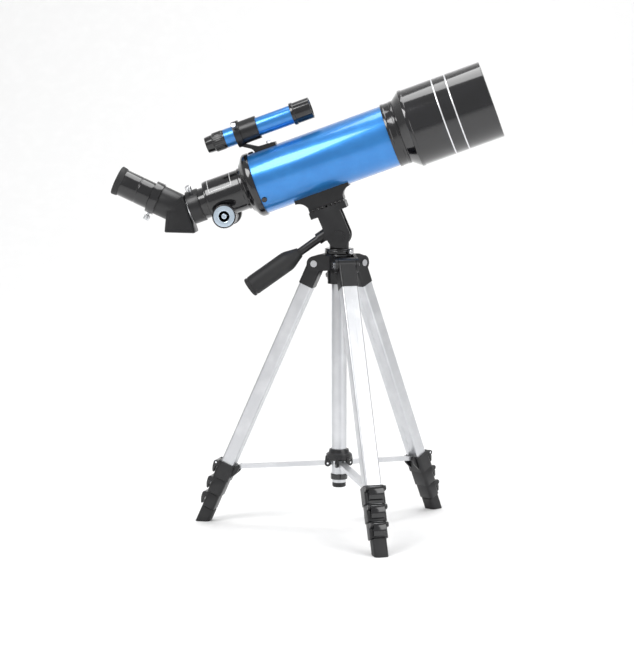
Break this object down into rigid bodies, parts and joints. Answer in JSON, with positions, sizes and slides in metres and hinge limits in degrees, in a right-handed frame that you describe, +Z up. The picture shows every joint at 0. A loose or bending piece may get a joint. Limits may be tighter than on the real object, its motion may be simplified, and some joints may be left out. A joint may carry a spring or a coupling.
{
  "type": "telescope on tripod",
  "caption": "Small refracting telescope with finder, diagonal and eyepiece, on a pan and tilt head and a folding aluminium table tripod with telescoping legs.",
  "frame": {"origin": "on the floor, on the axis of the centre column", "axes": "+Z up along the centre column, +X the side the telescope points to, +Y to the left seen from behind the eyepiece"},
  "size_m": [0.4887, 0.3252, 0.5814],
  "materials": {
    "black_plastic": "satin moulded",
    "gloss_black": "gloss",
    "silver_tube": "satin anodised",
    "blue_paint": "metallic gloss",
    "dark_shield": "gloss",
    "plated": "bright",
    "glass": "coated",
    "grip_rubber": "matte",
    "knob": "satin"
  },
  "bodies": {
    "shoulder": {"shoulder": "black_plastic", "shoulder_screws": "plated", "guide_tube": "silver_tube"},
    "column_lock": {"column_lock_knob": "black_plastic"},
    "column": {"centre_column": "silver_tube", "column_end_cap": "black_plastic", "pan_base": "black_plastic"},
    "spreader_hub": {"spreader_hub": "black_plastic", "hub_pins": "plated"},
    "strut_1": {"strut_1": "silver_tube"},
    "leg_1": {"leg_1_fittings": "black_plastic", "leg_1_tube": "silver_tube"},
    "leg_1_stage_2": {"leg_1_stage_2": "silver_tube"},
    "leg_1_stage_3": {"leg_1_stage_3": "silver_tube"},
    "leg_1_stage_4": {"leg_1_stage_4": "silver_tube"},
    "leg_1_lever_1": {"leg_1_lever_1": "gloss_black"},
    "leg_1_lever_2": {"leg_1_lever_2": "gloss_black"},
    "leg_1_lever_3": {"leg_1_lever_3": "gloss_black"},
    "strut_2": {"strut_2": "silver_tube"},
    "leg_2": {"leg_2_fittings": "black_plastic", "leg_2_tube": "silver_tube"},
    "leg_2_stage_2": {"leg_2_stage_2": "silver_tube"},
    "leg_2_stage_3": {"leg_2_stage_3": "silver_tube"},
    "leg_2_stage_4": {"leg_2_stage_4": "silver_tube"},
    "leg_2_lever_1": {"leg_2_lever_1": "gloss_black"},
    "leg_2_lever_2": {"leg_2_lever_2": "gloss_black"},
    "leg_2_lever_3": {"leg_2_lever_3": "gloss_black"},
    "strut_3": {"strut_3": "silver_tube"},
    "leg_3": {"leg_3_fittings": "black_plastic", "leg_3_tube": "silver_tube"},
    "leg_3_stage_2": {"leg_3_stage_2": "silver_tube"},
    "leg_3_stage_3": {"leg_3_stage_3": "silver_tube"},
    "leg_3_stage_4": {"leg_3_stage_4": "silver_tube"},
    "leg_3_lever_1": {"leg_3_lever_1": "gloss_black"},
    "leg_3_lever_2": {"leg_3_lever_2": "gloss_black"},
    "leg_3_lever_3": {"leg_3_lever_3": "gloss_black"},
    "pan_head": {"pan_neck": "black_plastic"},
    "pan_lock": {"pan_lock_screw": "plated"},
    "tilt_head": {"tilt_yoke": "black_plastic", "platform": "black_plastic", "saddle": "black_plastic", "main_tube": "blue_paint", "lens_cell": "gloss_black", "objective_lenses": "glass", "dew_shield": "dark_shield", "rear_cell": "gloss_black", "tube_screws": "plated", "focuser_body": "gloss_black", "finder_bracket": "black_plastic", "finder_tube": "blue_paint", "finder_screws": "plated"},
    "pan_handle": {"handle_rod": "black_plastic", "handle_grip": "grip_rubber"},
    "camera_screw": {"camera_screw": "black_plastic"},
    "focus_knobs": {"focus_knobs": "knob"},
    "drawtube": {"drawtube": "black_plastic"},
    "ring_screw": {"ring_screw": "plated"},
    "diagonal": {"diagonal_housing": "black_plastic", "diagonal_prism": "glass"},
    "eyepiece": {"eyepiece": "black_plastic"}
  },
  "joints": [
    {"name": "column_lock_turn", "type": "hinge", "parent": "shoulder", "child": "column_lock", "pos_m": [0, 0, 0.316], "axis": [-0.3371, 0.9415, 0], "range_deg": [-180, 90]},
    {"name": "column_raise", "type": "slide", "parent": "shoulder", "child": "column", "axis": [0, 0, 1], "range_m": [0, 0.2]},
    {"name": "leg_fold", "type": "slide", "parent": "shoulder", "child": "spreader_hub", "axis": [0, 0, 1], "range_m": [0, 0.08946]},
    {"name": "strut_1_swing", "type": "hinge", "parent": "spreader_hub", "child": "strut_1", "pos_m": [0.00425, -0.01186, 0.082], "axis": [0.9415, 0.3371, 0], "range_deg": [0, 84.31]},
    {"name": "leg_1_swing", "type": "hinge", "parent": "strut_1", "child": "leg_1", "pos_m": [0.04394, -0.12272, 0.07216], "axis": [0.9415, 0.3371, 0], "range_deg": [-60.11, 0]},
    {"name": "leg_1_stage_2_slide", "type": "slide", "parent": "leg_1", "child": "leg_1_stage_2", "axis": [0.1382, -0.3859, -0.9121], "range_m": [0, 0.2]},
    {"name": "leg_1_stage_3_slide", "type": "slide", "parent": "leg_1_stage_2", "child": "leg_1_stage_3", "axis": [0.1382, -0.3859, -0.9121], "range_m": [0, 0.2]},
    {"name": "leg_1_stage_4_slide", "type": "slide", "parent": "leg_1_stage_3", "child": "leg_1_stage_4", "axis": [0.1382, -0.3859, -0.9121], "range_m": [0, 0.2]},
    {"name": "leg_1_lever_1_flip", "type": "hinge", "parent": "leg_1", "child": "leg_1_lever_1", "pos_m": [0.05312, -0.14835, 0.07792], "axis": [-0.9415, -0.3371, 0], "range_deg": [0, 75]},
    {"name": "leg_1_lever_2_flip", "type": "hinge", "parent": "leg_1_stage_2", "child": "leg_1_lever_2", "pos_m": [0.05586, -0.156, 0.05691], "axis": [-0.9415, -0.3371, 0], "range_deg": [0, 75]},
    {"name": "leg_1_lever_3_flip", "type": "hinge", "parent": "leg_1_stage_3", "child": "leg_1_lever_3", "pos_m": [0.05846, -0.16327, 0.03681], "axis": [-0.9415, -0.3371, 0], "range_deg": [0, 75]},
    {"name": "strut_2_swing", "type": "hinge", "parent": "spreader_hub", "child": "strut_2", "pos_m": [0.00815, 0.00961, 0.082], "axis": [-0.7627, 0.6468, 0], "range_deg": [0, 84.31]},
    {"name": "leg_2_swing", "type": "hinge", "parent": "strut_2", "child": "leg_2", "pos_m": [0.08431, 0.09941, 0.07216], "axis": [-0.7627, 0.6468, 0], "range_deg": [-60.11, 0]},
    {"name": "leg_2_stage_2_slide", "type": "slide", "parent": "leg_2", "child": "leg_2_stage_2", "axis": [0.2651, 0.3126, -0.9121], "range_m": [0, 0.2]},
    {"name": "leg_2_stage_3_slide", "type": "slide", "parent": "leg_2_stage_2", "child": "leg_2_stage_3", "axis": [0.2651, 0.3126, -0.9121], "range_m": [0, 0.2]},
    {"name": "leg_2_stage_4_slide", "type": "slide", "parent": "leg_2_stage_3", "child": "leg_2_stage_4", "axis": [0.2651, 0.3126, -0.9121], "range_m": [0, 0.2]},
    {"name": "leg_2_lever_1_flip", "type": "hinge", "parent": "leg_2", "child": "leg_2_lever_1", "pos_m": [0.10192, 0.12018, 0.07792], "axis": [0.7627, -0.6468, 0], "range_deg": [0, 75]},
    {"name": "leg_2_lever_2_flip", "type": "hinge", "parent": "leg_2_stage_2", "child": "leg_2_lever_2", "pos_m": [0.10717, 0.12638, 0.05691], "axis": [0.7627, -0.6468, 0], "range_deg": [0, 75]},
    {"name": "leg_2_lever_3_flip", "type": "hinge", "parent": "leg_2_stage_3", "child": "leg_2_lever_3", "pos_m": [0.11217, 0.13226, 0.03681], "axis": [0.7627, -0.6468, 0], "range_deg": [0, 75]},
    {"name": "strut_3_swing", "type": "hinge", "parent": "spreader_hub", "child": "strut_3", "pos_m": [-0.0124, 0.00225, 0.082], "axis": [-0.1788, -0.9839, 0], "range_deg": [0, 84.31]},
    {"name": "leg_3_swing", "type": "hinge", "parent": "strut_3", "child": "leg_3", "pos_m": [-0.12824, 0.02331, 0.07216], "axis": [-0.1788, -0.9839, 0], "range_deg": [-60.11, 0]},
    {"name": "leg_3_stage_2_slide", "type": "slide", "parent": "leg_3", "child": "leg_3_stage_2", "axis": [-0.4033, 0.0733, -0.9121], "range_m": [0, 0.2]},
    {"name": "leg_3_stage_3_slide", "type": "slide", "parent": "leg_3_stage_2", "child": "leg_3_stage_3", "axis": [-0.4033, 0.0733, -0.9121], "range_m": [0, 0.2]},
    {"name": "leg_3_stage_4_slide", "type": "slide", "parent": "leg_3_stage_3", "child": "leg_3_stage_4", "axis": [-0.4033, 0.0733, -0.9121], "range_m": [0, 0.2]},
    {"name": "leg_3_lever_1_flip", "type": "hinge", "parent": "leg_3", "child": "leg_3_lever_1", "pos_m": [-0.15503, 0.02817, 0.07792], "axis": [0.1788, 0.9839, 0], "range_deg": [0, 75]},
    {"name": "leg_3_lever_2_flip", "type": "hinge", "parent": "leg_3_stage_2", "child": "leg_3_lever_2", "pos_m": [-0.16303, 0.02963, 0.05691], "axis": [0.1788, 0.9839, 0], "range_deg": [0, 75]},
    {"name": "leg_3_lever_3_flip", "type": "hinge", "parent": "leg_3_stage_3", "child": "leg_3_lever_3", "pos_m": [-0.17063, 0.03101, 0.03681], "axis": [0.1788, 0.9839, 0], "range_deg": [0, 75]},
    {"name": "pan", "type": "hinge", "parent": "column", "child": "pan_head", "pos_m": [0, 0, 0.354], "axis": [0, 0, 1], "continuous": true},
    {"name": "pan_lock_turn", "type": "hinge", "parent": "column", "child": "pan_lock", "pos_m": [0, 0, 0.3486], "axis": [0.6691, -0.7431, 0], "range_deg": [-180, 90]},
    {"name": "tilt", "type": "hinge", "parent": "pan_head", "child": "tilt_head", "pos_m": [0, 0, 0.368], "axis": [0, -1, 0], "range_deg": [-50, 6]},
    {"name": "handle_turn", "type": "hinge", "parent": "tilt_head", "child": "pan_handle", "pos_m": [-0.019, 0, 0.368], "axis": [-0.8131, 0, -0.5821], "range_deg": [-180, 90]},
    {"name": "camera_screw_turn", "type": "hinge", "parent": "tilt_head", "child": "camera_screw", "pos_m": [-0.00684, 0, 0.38679], "axis": [-0.342, 0, 0.9397], "range_deg": [-180, 180]},
    {"name": "focus", "type": "hinge", "parent": "tilt_head", "child": "focus_knobs", "pos_m": [-0.1394, 0, 0.39282], "axis": [0, 1, 0], "range_deg": [-120, 840]},
    {"name": "drawtube_slide", "type": "slide", "parent": "tilt_head", "child": "drawtube", "axis": [-0.9397, 0, -0.342], "range_m": [-0.00733, 0.05131]},
    {"name": "ring_screw_turn", "type": "hinge", "parent": "drawtube", "child": "ring_screw", "pos_m": [-0.17827, 0, 0.40315], "axis": [-0.2965, -0.4983, 0.8147], "range_deg": [-180, 90]},
    {"name": "diagonal_turn", "type": "hinge", "parent": "drawtube", "child": "diagonal", "pos_m": [-0.17827, 0, 0.40315], "axis": [0.9397, 0, 0.342], "continuous": true},
    {"name": "eyepiece_slide", "type": "slide", "parent": "diagonal", "child": "eyepiece", "axis": [-0.9063, 0, 0.4226], "range_m": [0, 0.02]}
  ],
  "couplings": [
    {"joint": "strut_1_swing", "follows": "leg_fold", "rad_per_m": 16.446},
    {"joint": "leg_1_swing", "follows": "leg_fold", "rad_per_m": -11.725},
    {"joint": "strut_2_swing", "follows": "leg_fold", "rad_per_m": 16.446},
    {"joint": "leg_2_swing", "follows": "leg_fold", "rad_per_m": -11.725},
    {"joint": "strut_3_swing", "follows": "leg_fold", "rad_per_m": 16.446},
    {"joint": "leg_3_swing", "follows": "leg_fold", "rad_per_m": -11.725},
    {"joint": "focus", "follows": "drawtube_slide", "rad_per_m": 285.71}
  ]
}
